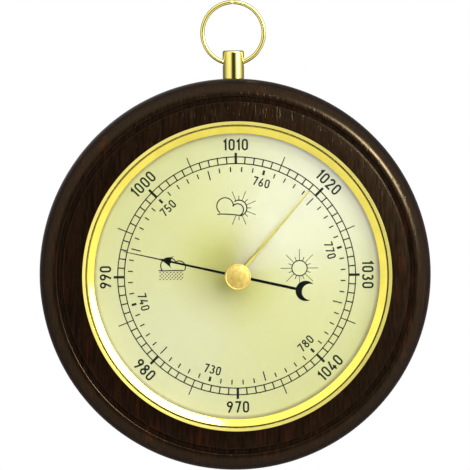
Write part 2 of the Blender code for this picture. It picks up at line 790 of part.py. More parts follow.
def pillars():
    """Each corner has a long pillar, a short one above the lower plate, and one long screw."""
    foot = BASE_Z + PLATE_T + 0.3
    shoulder = LOWER_PLATE_Z - 0.3
    blind = LOWER_PLATE_Z - 5.5
    bore = 1.1
    pillar = [(0, foot), (2.2, foot), (2.2, shoulder), (bore, shoulder), (bore, blind), (0, blind)]
    short_low = LOWER_PLATE_Z + BRIDGE_T + 0.3
    screw_seat = BRIDGE_Z + BRIDGE_T + 0.3
    for number, (x, y) in enumerate(PILLAR_PLACES, 1):
        mesh = turned("pillar", pillar, 14)
        place(f"pillar_{number}", mesh, "movement_brass", at=(x, y, 0))
        mesh = tube("short_pillar", bore, 2.2, short_low, BRIDGE_Z - 0.3, 14)
        place(f"short_pillar_{number}", mesh, "movement_brass", at=(x, y, 0))
        shank = screw_seat - blind - 0.5
        screw(f"bridge_screw_{number}", "steel", (x, y, screw_seat), 1.9, 1.1, 0.8, shank)


# ---------------------------------------------------------------- assembly

clear_scene()
FINISH = {name: make_finish(name) for name in FINISHES}
INSTRUMENT = new_empty("instrument", (0, 0, 0))
INSTRUMENT.rotation_euler = (math.pi / 2, 0, 0)

wood_case()
back_cover()
housing_can()
dial_plate()
spacer_ring()
glass()
bezel_ring()
glass_bush()
hanger_post()
hanging_ring()
set_hand_group()
pressure_hand_group()
hairspring_stud()
sector_group()
rocker_group()
rocker_brackets()
capsule_group()
adjusting_screw()
base_plate()
lower_plate()
upper_bridge()
pillars()
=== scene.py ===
import math

import bmesh
import bpy
from mathutils import Matrix, Vector


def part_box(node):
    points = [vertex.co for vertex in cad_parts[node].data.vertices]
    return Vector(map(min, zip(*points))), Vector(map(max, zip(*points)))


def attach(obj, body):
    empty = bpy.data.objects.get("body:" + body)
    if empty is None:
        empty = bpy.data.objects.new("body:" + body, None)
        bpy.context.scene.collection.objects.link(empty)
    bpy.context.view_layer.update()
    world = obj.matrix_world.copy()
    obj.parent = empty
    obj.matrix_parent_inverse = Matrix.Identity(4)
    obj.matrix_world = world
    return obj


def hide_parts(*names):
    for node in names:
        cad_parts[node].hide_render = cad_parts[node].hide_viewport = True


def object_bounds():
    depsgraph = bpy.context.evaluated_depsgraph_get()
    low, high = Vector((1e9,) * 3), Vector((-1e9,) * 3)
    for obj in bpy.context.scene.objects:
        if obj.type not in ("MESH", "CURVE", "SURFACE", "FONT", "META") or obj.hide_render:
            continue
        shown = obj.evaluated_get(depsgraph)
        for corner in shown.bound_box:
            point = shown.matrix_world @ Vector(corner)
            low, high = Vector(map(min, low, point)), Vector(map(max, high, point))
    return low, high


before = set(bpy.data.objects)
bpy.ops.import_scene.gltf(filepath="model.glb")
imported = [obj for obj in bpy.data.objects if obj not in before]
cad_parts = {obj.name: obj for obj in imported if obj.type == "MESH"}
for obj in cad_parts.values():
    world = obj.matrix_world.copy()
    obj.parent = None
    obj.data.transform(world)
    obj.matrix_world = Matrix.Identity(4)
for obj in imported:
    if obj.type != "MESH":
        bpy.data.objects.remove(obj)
CAD_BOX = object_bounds()

# The pieces are drawn in the instrument's own frame, in millimetres, as part.py draws them:
# x to the right, y up and z out of the wall. The dial's centre is x = y = 0.
MM = 0.001
TURN = 2 * math.pi


def cad(node):
    """(lowest, highest) corner of a CAD node in the instrument's own frame, in millimetres."""
    low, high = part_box(node)
    return (
        (low[0] / MM, low[2] / MM, -high[1] / MM),
        (high[0] / MM, high[2] / MM, -low[1] / MM),
    )


CASE_R = cad("wood_case")[1][0]
LAND_Z = cad("wood_case")[1][2]
CAN_BACK_Z = cad("housing_can")[0][2]
RIM_R = cad("housing_can")[1][0]
RIM_TOP_Z = cad("housing_can")[1][2]
STACK_R = cad("dial_plate")[1][0]
DIAL_Z = cad("dial_plate")[1][2]
GLASS_LOW, GLASS_TOP = cad("glass")[0][2], cad("glass")[1][2]
BEZEL_R = cad("bezel_ring")[1][0] - 0.3
BEZEL_Z, BEZEL_TOP_Z = cad("bezel_ring")[0][2], cad("bezel_ring")[1][2]
KNOB_R = cad("set_knob")[1][0]
KNOB_Z, KNOB_TOP_Z = cad("set_knob")[0][2], cad("set_knob")[1][2]
HAND_Z, HAND_TOP_Z = cad("pressure_hand")[0][2], cad("pressure_hand")[1][2]
SET_Z, SET_TOP_Z = cad("set_hand")[0][2], cad("set_hand")[1][2]
POST_TOP_Y = cad("hanger_post")[1][1]
COVER_R, COVER_T = cad("back_cover")[1][0], cad("back_cover")[1][2]
POST_Z = (cad("hanging_ring")[0][2] + cad("hanging_ring")[1][2]) / 2
RING_WIRE_R = (cad("hanging_ring")[1][2] - cad("hanging_ring")[0][2]) / 2
RING_R = cad("hanging_ring")[1][0] - RING_WIRE_R
RING_MIDDLE_Y = cad("hanging_ring")[0][1] + RING_WIRE_R + RING_R

CASE_BACK_R = 78.4
BORE_R = 61.0
REBATE_R = 67.0
REBATE_Z = 2.3
LAND_R = 75.05
BEAD_R = 78.3
BEAD_Z = LAND_Z - 0.8
POST_R = 4.65
POST_FOOT_Y = 85.04
SHANK_R = 2.4
SHANK_FOOT_Y = 70.3
RING_HOLE_Y = 92.02
RING_HOLE_R = 1.65
RING_GAP_DEG = 0.7
CAN_R = 60.6
CAN_WALL_R = 59.7
CAN_FLOOR_T = 0.8
CAN_HOLE_R = 3.2
FLANGE_Z = 34.3
FLANGE_TOP_Z = 35.1
BASE_SCREW_CIRCLE_R = 45.0
BASE_SCREW_HOLE_R = 1.4
SPACER_INNER_R = 63.0
BEZEL_INNER_R = 61.7
RIM_INNER_R = 65.6
GLASS_HOLE_R = 2.2
DIAL_HOLE_R = 3.0
DIAL_T = 0.8
SPINDLE_HOLE_R = 1.15
ARBOR_HOLE_R = 0.75
KNOB_BORE_DEPTH = 2.3
SET_BOSS_R = 3.2
COVER_SCREW_CIRCLE_R = 64.0
COVER_SCREW_HOLE_R = 2.5
COVER_SCREW_HEAD_Z = 1.7
CAPSULE_Y = -34.0
ACCESS_R = 3.5
PRESSURE_DEG = 282.8
SET_DEG = 40.9

# ---------------------------------------------------------------- camera and light

VIEW_AZIMUTH = -2.7
VIEW_ELEVATION = 2.6
VIEW_ROLL = 0.5
VIEW_DISTANCE = 2.4
FRAME_WIDTH = 0.2045
AIM = (0.00007, -0.022, 0.01707)
SENSOR = 0.036
FLOOR_R = 0.8
FLOOR_DROP = 0.25


def look_at(thing, target, roll_deg=0.0):
    """Points a camera or a lamp at a place, then rolls it."""
    direction = Vector(target) - thing.location
    turn = direction.to_track_quat("-Z", "Y").to_matrix().to_4x4()
    roll = Matrix.Rotation(math.radians(roll_deg), 4, "Z")
    thing.rotation_euler = (turn @ roll).to_euler()


def add_camera():
    """The photo's view, from a little above and to the left of straight ahead."""
    camera = bpy.data.cameras.new("camera")
    camera.sensor_width = SENSOR * 1000
    camera.lens = SENSOR * VIEW_DISTANCE / FRAME_WIDTH * 1000
    camera.clip_start = 0.05
    camera.clip_end = 20.0
    view = bpy.data.objects.new("camera", camera)
    bpy.context.scene.collection.objects.link(view)
    azimuth, elevation = math.radians(VIEW_AZIMUTH), math.radians(VIEW_ELEVATION)
    away = Vector(
        (
            math.sin(azimuth) * math.cos(elevation),
            -math.cos(azimuth) * math.cos(elevation),
            math.sin(elevation),
        )
    )
    view.location = Vector(AIM) + away * VIEW_DISTANCE
    look_at(view, AIM, -VIEW_ROLL)
    bpy.context.scene.camera = view


def add_softbox(name, at, size, power, kind, colour=(1.0, 1.0, 1.0), roll_deg=0.0):
    """A softbox aimed at the dial. Its kind, "gloss" or "diffuse", is the one way it lights things."""
    lamp = bpy.data.lights.new(name, "AREA")
    lamp.shape = "RECTANGLE"
    lamp.size = size[0]
    lamp.size_y = size[1]
    lamp.energy = power
    lamp.color = colour
    box = bpy.data.objects.new(name, lamp)
    bpy.context.scene.collection.objects.link(box)
    box.location = at
    box.visible_diffuse = kind == "diffuse"
    box.visible_glossy = kind == "gloss"
    look_at(box, (0.0, -0.03, 0.0), roll_deg)
    return box


def light_link(box, made, state):
    """Lets a softbox light only this piece (INCLUDE) or all but this piece (EXCLUDE)."""
    group = bpy.data.collections.new(box.name + "_receivers")
    group.objects.link(made)
    box.light_linking.receiver_collection = group
    group.collection_objects[0].light_linking.link_state = state


def add_world():
    """A pale studio, bright in front of the object, with one dark round spot where the camera stands."""
    world = bpy.data.worlds.new("studio")
    world.use_nodes = True
    bpy.context.scene.world = world
    tree = Nodes(world.node_tree)
    world.node_tree.nodes.clear()
    way = tree.add("ShaderNodeTexCoord").outputs["Generated"]
    forward = tree.dot(way, (0.0, -1.0, 0.0))
    glow = tree.ramp(
        forward,
        [
            (0.0, (0.20, 0.20, 0.20)),
            (0.36, (0.25, 0.25, 0.25)),
            (0.56, (0.85, 0.85, 0.85)),
            (0.80, (1.22, 1.22, 1.22)),
            (0.890, (1.22, 1.22, 1.22)),
            (0.938, (0.95, 0.95, 0.95)),
            (0.972, (0.30, 0.30, 0.30)),
            (0.987, (0.03, 0.03, 0.03)),
        ],
        (-1.0, 1.0),
    )
    upward = tree.dot(way, (0.35, 0.0, 0.94))
    higher = tree.ramp(upward, [(0.2, (0.80,) * 3), (0.8, (1.25,) * 3)], (-1.0, 1.0))
    glow = tree.mix(1.0, glow, higher, "MULTIPLY")
    seen = tree.add("ShaderNodeLightPath").outputs["Is Camera Ray"]
    colour = tree.mix(seen, glow, (1.0, 1.0, 1.0, 1.0))
    shade = tree.add("ShaderNodeBackground")
    tree.link(colour, shade.inputs["Color"])
    out = tree.add("ShaderNodeOutputWorld")
    tree.link(shade.outputs[0], out.inputs["Surface"])


def add_floor():
    """A pale round floor, well below the case, which hangs."""
    mesh = bpy.data.meshes.new("floor")
    bm = bmesh.new()
    bmesh.ops.create_circle(bm, cap_ends=True, segments=96, radius=FLOOR_R)
    bmesh.ops.translate(bm, verts=bm.verts, vec=(0.0, 0.0, CAD_BOX[0][2] - FLOOR_DROP))
    bm.to_mesh(mesh)
    bm.free()
    floor = bpy.data.objects.new("floor", mesh)
    bpy.context.scene.collection.objects.link(floor)
    mesh.materials.append(floor_material())
    floor.visible_glossy = False


# ---------------------------------------------------------------- shader nodes


class Nodes:
    """Short ways to add and link shader nodes."""

    def __init__(self, tree):
        self.tree = tree

    def add(self, kind, **settings):
        node = self.tree.nodes.new(kind)
        for name, value in settings.items():
            setattr(node, name, value)
        return node

    def link(self, source, target):
        self.tree.links.new(source, target)

    def put(self, value, target):
        if isinstance(value, bpy.types.NodeSocket):
            self.link(value, target)
        else:
            target.default_value = value

    def math(self, operation, a, b=0.0, clamp=False):
        node = self.add("ShaderNodeMath", operation=operation, use_clamp=clamp)
        self.put(a, node.inputs[0])
        self.put(b, node.inputs[1])
        return node.outputs[0]

    def dot(self, a, b):
        node = self.add("ShaderNodeVectorMath", operation="DOT_PRODUCT")
        self.put(a, node.inputs[0])
        self.put(b, node.inputs[1])
        return node.outputs["Value"]

    def scaled(self, vector, by):
        node = self.add("ShaderNodeVectorMath", operation="MULTIPLY")
        self.put(vector, node.inputs[0])
        self.put(by, node.inputs[1])
        return node.outputs[0]

    def place(self):
        return self.add("ShaderNodeTexCoord").outputs["Object"]

    def noise(self, vector, scale, detail=2.0, rough=0.5, distortion=0.0):
        node = self.add("ShaderNodeTexNoise")
        self.put(vector, node.inputs["Vector"])
        node.inputs["Scale"].default_value = scale
        node.inputs["Detail"].default_value = detail
        node.inputs["Roughness"].default_value = rough
        node.inputs["Distortion"].default_value = distortion
        return node.outputs["Fac"]

    def span(self, value, low, high, to_low=0.0, to_high=1.0):
        node = self.add("ShaderNodeMapRange")
        self.put(value, node.inputs["Value"])
        node.inputs["From Min"].default_value = low
        node.inputs["From Max"].default_value = high
        node.inputs["To Min"].default_value = to_low
        node.inputs["To Max"].default_value = to_high
        return node.outputs[0]

    def ramp(self, value, stops, domain=(0.0, 1.0)):
        """A colour ramp over a value that runs through this domain. Its stops always run 0 to 1."""
        node = self.add("ShaderNodeValToRGB")
        if domain != (0.0, 1.0):
            value = self.span(value, *domain)
        self.put(value, node.inputs["Fac"])
        elements = node.color_ramp.elements
        while len(elements) < len(stops):
            elements.new(0.5)
        for element, (at, colour) in zip(elements, stops):
            element.position = at
            element.color = (*colour, 1.0)
        return node.outputs["Color"]

    def mix(self, factor, a, b, blend="MIX"):
        node = self.add("ShaderNodeMix", data_type="RGBA", blend_type=blend)
        self.put(factor, node.inputs["Factor"])
        self.put(a, node.inputs[6])
        self.put(b, node.inputs[7])
        return node.outputs[2]

    def bump(self, height, strength, distance):
        node = self.add("ShaderNodeBump")
        self.put(height, node.inputs["Height"])
        node.inputs["Strength"].default_value = strength
        node.inputs["Distance"].default_value = distance
        return node.outputs["Normal"]


def new_material(name):
    """A material, its node helper and its Principled shader."""
    material = bpy.data.materials.new(name)
    material.use_nodes = True
    tree = Nodes(material.node_tree)
    shader = material.node_tree.nodes["Principled BSDF"]
    return material, tree, shader


def wood_material():
    """Dark stained hardwood under lacquer: upright fibres, short open pores and red streaks."""
    material, tree, shader = new_material("case_wood")
    place = tree.place()
    fibres = tree.noise(tree.scaled(place, (1100.0, 1100.0, 120.0)), 1.0, 4.0, 0.6)
    bands = tree.noise(tree.scaled(place, (70.0, 70.0, 9.0)), 1.0, 3.0, 0.55, 0.4)
    streaks = tree.noise(tree.scaled(place, (620.0, 620.0, 80.0)), 1.0, 3.0, 0.6)
    pores = tree.noise(tree.scaled(place, (1500.0, 1500.0, 150.0)), 1.0, 2.0, 0.5)
    base = tree.ramp(
        fibres,
        [
            (0.30, (0.0050, 0.0026, 0.0016)),
            (0.52, (0.0125, 0.0055, 0.0030)),
            (0.75, (0.0250, 0.0098, 0.0048)),
        ],
    )
    red = tree.math("MULTIPLY", tree.span(streaks, 0.50, 0.68), tree.span(bands, 0.46, 0.62))
    red = tree.math("MULTIPLY", red, 0.75, clamp=True)
    base = tree.mix(red, base, (0.056, 0.0110, 0.0052, 1.0))
    pore = tree.span(pores, 0.60, 0.70)
    base = tree.mix(tree.math("MULTIPLY", pore, 0.85), base, (0.0018, 0.0011, 0.0007, 1.0))
    tree.link(base, shader.inputs["Base Color"])
    tree.link(tree.span(fibres, 0.3, 0.8, 0.19, 0.27), shader.inputs["Roughness"])
    height = tree.math("SUBTRACT", tree.math("MULTIPLY", fibres, 0.4), pore)
    tree.link(tree.bump(height, 0.35, 0.00006), shader.inputs["Normal"])
    shader.inputs["IOR"].default_value = 1.31
    shader.inputs["Specular Tint"].default_value = (1.0, 0.74, 0.40, 1.0)
    return material


def brass_material(name, colour, roughness, brushed=0.0):
    """Lacquered brass. Fine scratches and a faint tarnish change its roughness and colour."""
    material, tree, shader = new_material(name)
    place = tree.place()
    tarnish = tree.noise(place, 90.0, 3.0, 0.6)
    scratch = tree.noise(tree.scaled(place, (1.0, 0.35, 1.0)), 2600.0, 2.0, 0.6)
    darker = tuple(part * 0.84 for part in colour) + (1.0,)
    colours = tree.mix(tree.span(tarnish, 0.42, 0.72, 0.0, 0.6), (*colour, 1.0), darker)
    tree.link(colours, shader.inputs["Base Color"])
    shader.inputs["Metallic"].default_value = 1.0
    rough = tree.span(scratch, 0.3, 0.7, roughness * 0.8, roughness * 1.25)
    tree.link(rough, shader.inputs["Roughness"])
    if brushed:
        tree.link(tree.bump(scratch, brushed, 0.00002), shader.inputs["Normal"])
    return material


def satin_material():
    """Brass cast with a soft skin, then polished on its edges by hands."""
    material, tree, shader = new_material("satin_brass")
    place = tree.place()
    skin = tree.noise(tree.scaled(place, (1.0, 1.0, 0.45)), 950.0, 3.0, 0.6, 0.6)
    fine = tree.noise(place, 4200.0, 2.0, 0.5)
    colour = tree.ramp(
        skin,
        [(0.30, (0.70, 0.48, 0.11)), (0.50, (0.82, 0.60, 0.15)), (0.72, (0.90, 0.74, 0.25))],
    )
    tree.link(colour, shader.inputs["Base Color"])
    shader.inputs["Metallic"].default_value = 0.9
    tree.link(tree.span(fine, 0.3, 0.7, 0.42, 0.54), shader.inputs["Roughness"])
    tree.link(tree.bump(skin, 0.6, 0.00012), shader.inputs["Normal"])
    return material


def steel_material():
    """Turned steel, with marks across its axis."""
    material, tree, shader = new_material("machined_steel")
    place = tree.place()
    marks = tree.noise(tree.scaled(place, (1.0, 8.0, 1.0)), 900.0, 3.0, 0.6)
    colour = tree.ramp(marks, [(0.3, (0.38, 0.38, 0.39)), (0.7, (0.56, 0.56, 0.57))])
    tree.link(colour, shader.inputs["Base Color"])
    shader.inputs["Metallic"].default_value = 1.0
    tree.link(tree.span(marks, 0.3, 0.7, 0.24, 0.40), shader.inputs["Roughness"])
    return material


def nickel_material():
    """Nickel plate that is clouded in patches."""
    material, tree, shader = new_material("capsule_nickel")
    bloom = tree.noise(tree.place(), 160.0, 4.0, 0.6)
    colour = tree.ramp(bloom, [(0.3, (0.50, 0.50, 0.47)), (0.7, (0.66, 0.66, 0.62))])
    tree.link(colour, shader.inputs["Base Color"])
    shader.inputs["Metallic"].default_value = 1.0
    tree.link(tree.span(bloom, 0.3, 0.7, 0.20, 0.34), shader.inputs["Roughness"])
    return material


def dial_material():
    """Champagne lacquer on metal that is brushed in circles, so its gloss fans out from the middle. Shade
    round the knob and a shadow line inside the bezel are painted into its colour.
    """
    material, tree, shader = new_material("dial_champagne")
    place = tree.place()
    flat = tree.scaled(place, (1.0, 0.0, 1.0))
    radius = tree.add("ShaderNodeVectorMath", operation="LENGTH")
    tree.link(flat, radius.inputs[0])
    rings = tree.add("ShaderNodeTexNoise", noise_dimensions="1D")
    tree.link(tree.math("MULTIPLY", radius.outputs["Value"], 5200.0), rings.inputs["W"])
    rings.inputs["Scale"].default_value = 1.0
    rings.inputs["Detail"].default_value = 3.0
    grain = rings.outputs["Fac"]
    soft = tree.noise(place, 60.0, 3.0, 0.6)
    colour = tree.mix(
        tree.span(soft, 0.35, 0.70, 0.0, 0.5),
        (0.800, 0.782, 0.245, 1.0),
        (0.770, 0.752, 0.215, 1.0),
    )
    colour = tree.mix(tree.span(grain, 0.3, 0.7, 0.0, 0.12), colour, (0.85, 0.84, 0.40, 1.0))
    fleck = tree.noise(place, 1700.0, 2.0, 0.7)
    colour = tree.mix(tree.span(fleck, 0.45, 0.70, 0.0, 0.14), colour, (0.62, 0.63, 0.24, 1.0))
    # Painted shade: the colour darkens towards the knob, most to its upper left, where a shadow would fall.
    shade_centre_distance = tree.add("ShaderNodeVectorMath", operation="DISTANCE")
    tree.link(flat, shade_centre_distance.inputs[0])
    shade_centre_distance.inputs[1].default_value = (-3.2 * MM, 0.0, 2.2 * MM)
    painted_knob_shade = tree.ramp(
        tree.math("MULTIPLY", shade_centre_distance.outputs["Value"], 1000.0 / STACK_R),
        [
            (0.05, (0.66, 0.64, 0.14)),
            (0.14, (0.76, 0.74, 0.24)),
            (0.26, (0.91, 0.90, 0.60)),
            (0.42, (1.0, 1.0, 1.0)),
        ],
    )
    colour = tree.mix(1.0, colour, painted_knob_shade, "MULTIPLY")
    # Painted shadow: a dark olive line just inside the bezel's edge. The outer band is also painted a
    # little lighter to offset the rim's shade.
    painted_edge_shade = tree.ramp(
        tree.math("MULTIPLY", radius.outputs["Value"], 1000.0 / STACK_R),
        [
            (0.78, (0.98, 0.98, 0.98)),
            (0.90, (1.0, 1.0, 1.0)),
            (0.925, (1.0, 1.0, 1.0)),
            (0.944, (0.58, 0.54, 0.36)),
        ],
    )
    colour = tree.mix(1.0, colour, painted_edge_shade, "MULTIPLY")
    tree.link(colour, shader.inputs["Base Color"])
    shader.inputs["Metallic"].default_value = 0.04
    shader.inputs["IOR"].default_value = 2.5
    shader.inputs["Specular Tint"].default_value = (0.32, 0.28, 1.0, 1.0)
    tree.link(tree.span(grain, 0.3, 0.7, 0.46, 0.54), shader.inputs["Roughness"])
    shader.inputs["Anisotropic"].default_value = 0.68
    shader.inputs["Anisotropic Rotation"].default_value = 0.25
    around = tree.add("ShaderNodeTangent", direction_type="RADIAL", axis="Y")
    tree.link(around.outputs[0], shader.inputs["Tangent"])
    domed = tree.math("MULTIPLY", radius.outputs["Value"], -0.09)
    brushed = tree.math("MULTIPLY", grain, 0.0000005)
    tree.link(tree.bump(tree.math("ADD", domed, brushed), 1.0, 1.0), shader.inputs["Normal"])
    return material


def ink_material():
    """Printed ink: black-green, a little thin in places."""
    material, tree, shader = new_material("printed_ink")
    thin = tree.noise(tree.place(), 1400.0, 3.0, 0.6)
    colour = tree.ramp(thin, [(0.35, (0.010, 0.017, 0.008)), (0.70, (0.020, 0.030, 0.014))])
    tree.link(colour, shader.inputs["Base Color"])
    tree.link(tree.span(thin, 0.3, 0.7, 0.55, 0.70), shader.inputs["Roughness"])
    shader.inputs["Specular IOR Level"].default_value = 0.12
    return material


def black_material():
    """The pressure hand's nearly matt black paint."""
    material, tree, shader = new_material("hand_black")
    dust = tree.noise(tree.place(), 900.0, 3.0, 0.6)
    colour = tree.ramp(dust, [(0.35, (0.0020, 0.0028, 0.0018)), (0.70, (0.0055, 0.0078, 0.0050))])
    tree.link(colour, shader.inputs["Base Color"])
    tree.link(tree.span(dust, 0.3, 0.7, 0.42, 0.55), shader.inputs["Roughness"])
    shader.inputs["Specular IOR Level"].default_value = 0.06
    return material


def glass_material():
    """Flat clear glass. Lamps shine through it, so what lies behind is lit."""
    material, tree, shader = new_material("clear_glass")
    smear = tree.noise(tree.place(), 35.0, 2.0, 0.5)
    shader.inputs["Base Color"].default_value = (0.985, 0.992, 0.985, 1.0)
    shader.inputs["Transmission Weight"].default_value = 1.0
    shader.inputs["IOR"].default_value = 1.46
    tree.link(tree.span(smear, 0.35, 0.75, 0.0, 0.012), shader.inputs["Roughness"])
    clear = tree.add("ShaderNodeBsdfTransparent")
    either = tree.add("ShaderNodeMixShader")
    shadow = tree.add("ShaderNodeLightPath").outputs["Is Shadow Ray"]
    tree.link(shadow, either.inputs[0])
    tree.link(shader.outputs[0], either.inputs[1])
    tree.link(clear.outputs[0], either.inputs[2])
    out = material.node_tree.nodes["Material Output"]
    tree.link(either.outputs[0], out.inputs["Surface"])
    return material


def board_material():
    """Dark pressed fibre board."""
    material, tree, shader = new_material("fibre_board")
    place = tree.place()
    fibres = tree.noise(place, 700.0, 5.0, 0.7)
    blotch = tree.noise(place, 60.0, 3.0, 0.6)
    colour = tree.ramp(fibres, [(0.3, (0.030, 0.019, 0.012)), (0.7, (0.075, 0.048, 0.030))])
    colour = tree.mix(tree.span(blotch, 0.4, 0.7, 0.0, 0.35), colour, (0.030, 0.021, 0.015, 1.0))
    tree.link(colour, shader.inputs["Base Color"])
    tree.link(tree.span(fibres, 0.3, 0.7, 0.62, 0.80), shader.inputs["Roughness"])
    tree.link(tree.bump(fibres, 0.3, 0.00015), shader.inputs["Normal"])
    return material


def floor_material():
    """Pale, faintly mottled and matt."""
    material, tree, shader = new_material("pale_floor")
    grain = tree.noise(tree.place(), 40.0, 2.0, 0.5)
    colour = tree.ramp(grain, [(0.3, (0.80, 0.80, 0.79)), (0.7, (0.83, 0.83, 0.82))])
    tree.link(colour, shader.inputs["Base Color"])
    shader.inputs["Roughness"].default_value = 0.8
    return material


# ---------------------------------------------------------------- mesh tools

SOFTENED_OVER_DEG = 30.0
SHARP_OVER_DEG = 32.0


def to_world(bm):
    """Turns a mesh drawn in the instrument's frame, in millimetres, into the shared frame."""
    bm.transform(Matrix.Diagonal((MM, MM, MM, 1.0)))
    bm.transform(Matrix.Rotation(math.pi / 2, 4, "X"))


def piece(name, bm, body, material, nodes=(), sharp_deg=SHARP_OVER_DEG):
    """One visible piece: it rides on a body and stands for the CAD nodes named."""
    bmesh.ops.recalc_face_normals(bm, faces=bm.faces)
    to_world(bm)
    mesh = bpy.data.meshes.new(name)
    bm.to_mesh(mesh)
    bm.free()
    mesh.shade_smooth()
    mesh.set_sharp_from_angle(angle=math.radians(sharp_deg))
    mesh.materials.append(material)
    made = bpy.data.objects.new(name, mesh)
    bpy.context.scene.collection.objects.link(made)
    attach(made, body)
    if nodes:
        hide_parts(*nodes)
    return made


def arc(radius, start_deg, end_deg, count, centre=(0.0, 0.0), squash=1.0):
    """Points along an arc, with both ends. Angles run anticlockwise from +x."""
    angles = [
        math.radians(start_deg + (end_deg - start_deg) * i / (count - 1)) for i in range(count)
    ]
    return [
        (centre[0] + radius * math.cos(a), centre[1] + radius * squash * math.sin(a))
        for a in angles
    ]


def circle(radius, count=48, centre=(0.0, 0.0)):
    """Points round a circle, each only once."""
    return arc(radius, 0, 360 * (count - 1) / count, count, centre)


def polar(radius, clockwise_deg):
    """A point at this angle clockwise from +y."""
    angle = math.radians(clockwise_deg)
    return (radius * math.sin(angle), radius * math.cos(angle))


def turned(profile, steps=256):
    """A bmesh of a profile of (radius, z) turned round z. A profile that starts and ends on the
    axis is solid, and any other is closed into a ring."""
    bm = bmesh.new()
    points = [bm.verts.new((radius, 0.0, z)) for radius, z in profile]
    for first, second in zip(points, points[1:]):
        bm.edges.new((first, second))
    if profile[0][0] > 0:
        bm.edges.new((points[-1], points[0]))
    bmesh.ops.spin(
        bm,
        geom=bm.verts[:] + bm.edges[:],
        cent=(0, 0, 0),
        axis=(0, 0, 1),
        dvec=(0, 0, 0),
        angle=TURN,
        steps=steps,
        use_merge=True,
    )
    bmesh.ops.remove_doubles(bm, verts=bm.verts, dist=1e-5)
    return bm


def drill(radius, low, high, steps):
    """A solid cylinder round z, to cut a hole with."""
    return turned([(0, low), (radius, low), (radius, high), (0, high)], steps)


def plate(outline, holes, low, high):
    """A bmesh of a flat plate between two heights, with holes."""
    curve = bpy.data.curves.new("outline", "CURVE")
    curve.dimensions = "2D"
    curve.fill_mode = "BOTH"
    curve.extrude = (high - low) / 2
    for loop in (outline, *holes):
        spline = curve.splines.new("POLY")
        spline.points.add(len(loop) - 1)
        spline.use_cyclic_u = True
        for point, (x, y) in zip(spline.points, loop):
            point.co = (x, y, 0.0, 1.0)
    draft = bpy.data.objects.new("outline", curve)
    filled = bpy.data.meshes.new_from_object(draft)
    bpy.data.objects.remove(draft)
    bm = bmesh.new()
    bm.from_mesh(filled)
    bpy.data.meshes.remove(filled)
    bmesh.ops.remove_doubles(bm, verts=bm.verts, dist=1e-5)
    bmesh.ops.translate(bm, verts=bm.verts, vec=(0.0, 0.0, (low + high) / 2))
    return bm


def rotated(bm, clockwise_deg=0.0, shift=(0.0, 0.0, 0.0)):
    """Turns a mesh clockwise about z and then moves it."""
    bm.transform(Matrix.Rotation(-math.radians(clockwise_deg), 4, "Z"))
    bmesh.ops.translate(bm, verts=bm.verts, vec=shift)
    return bm


def shadowless(made):
    """Keeps a piece out of shadows and reflections, so that the dial is lit evenly to its edge."""
    made.visible_shadow = False
    made.visible_diffuse = False
    made.visible_glossy = False


def softened(made, width):
    """Rounds a piece's hard edges. The width is in millimetres."""
    bevel = made.modifiers.new("soft_edges", "BEVEL")
    bevel.width = width * MM
    bevel.segments = 2
    bevel.limit_method = "ANGLE"
    bevel.angle_limit = math.radians(SOFTENED_OVER_DEG)
    bevel.use_clamp_overlap = True


def cut(made, bm):
    """Cuts a helper solid, drawn in the instrument's frame, out of a piece for good."""
    bmesh.ops.recalc_face_normals(bm, faces=bm.faces)
    to_world(bm)
    mesh = bpy.data.meshes.new("cutter")
    bm.to_mesh(mesh)
    bm.free()
    cutter = bpy.data.objects.new("cutter", mesh)
    bpy.context.scene.collection.objects.link(cutter)
    boolean = made.modifiers.new("cut", "BOOLEAN")
    boolean.operation = "DIFFERENCE"
    boolean.solver = "EXACT"
    boolean.object = cutter
    graph = bpy.context.evaluated_depsgraph_get()
    result = bpy.data.meshes.new_from_object(made.evaluated_get(graph))
    made.modifiers.remove(boolean)
    old = made.data
    made.data = result
    bpy.data.meshes.remove(old)
    bpy.data.objects.remove(cutter)
    bpy.data.meshes.remove(mesh)


# ---------------------------------------------------------------- case

# Lays what is drawn round z along the hanger's axis, which stands upright over the case.
UPRIGHT = Matrix.Translation((0, 0, POST_Z)) @ Matrix.Rotation(-math.pi / 2, 4, "X")
BEAD_START_Z = 26.0


def case_profile():
    """The case's turned section: back, side, half-round bead, quirk, land and bore."""
    back = [(REBATE_R + 0.4, 0.0), (CASE_BACK_R, 0.0)]
    foot = arc(4.0, -90, -38, 8, (CASE_BACK_R + 0.2, 4.0))
    side = [(83.3, 4.6), (84.35, 8.2), (84.8, 11.6), (CASE_R, 15.0), (CASE_R, 20.5)]
    rise = (BEAD_Z - BEAD_START_Z) / (CASE_R - BEAD_R)
    bead = arc(CASE_R - BEAD_R, 0, 90, 22, (BEAD_R, BEAD_START_Z), rise)
    flank = arc(0.7, 95, 140, 6, (BEAD_R - 0.1, BEAD_Z - 0.7))
    quirk = [(77.45, LAND_Z - 1.60), (75.7, LAND_Z - 1.62)]
    step = arc(0.3, 0, 90, 6, (LAND_R, LAND_Z - 0.3))
    bore = [(BORE_R, LAND_Z), (BORE_R, REBATE_Z), (REBATE_R, REBATE_Z), (REBATE_R, 0.4)]
    return back + foot + side + bead + flank + quirk + step + bore


def build_case(wood):
    """The case, with a hole in its top for the hanger's shank."""
    bm = turned(case_profile(), 288)
    made = piece("case_turned_wood", bm, "case", wood, ("wood_case",), 50)
    hole = drill(SHANK_R + 0.3, SHANK_FOOT_Y - 0.4, CASE_R + 5.0, 24)
    hole.transform(UPRIGHT)
    cut(made, hole)
    return made


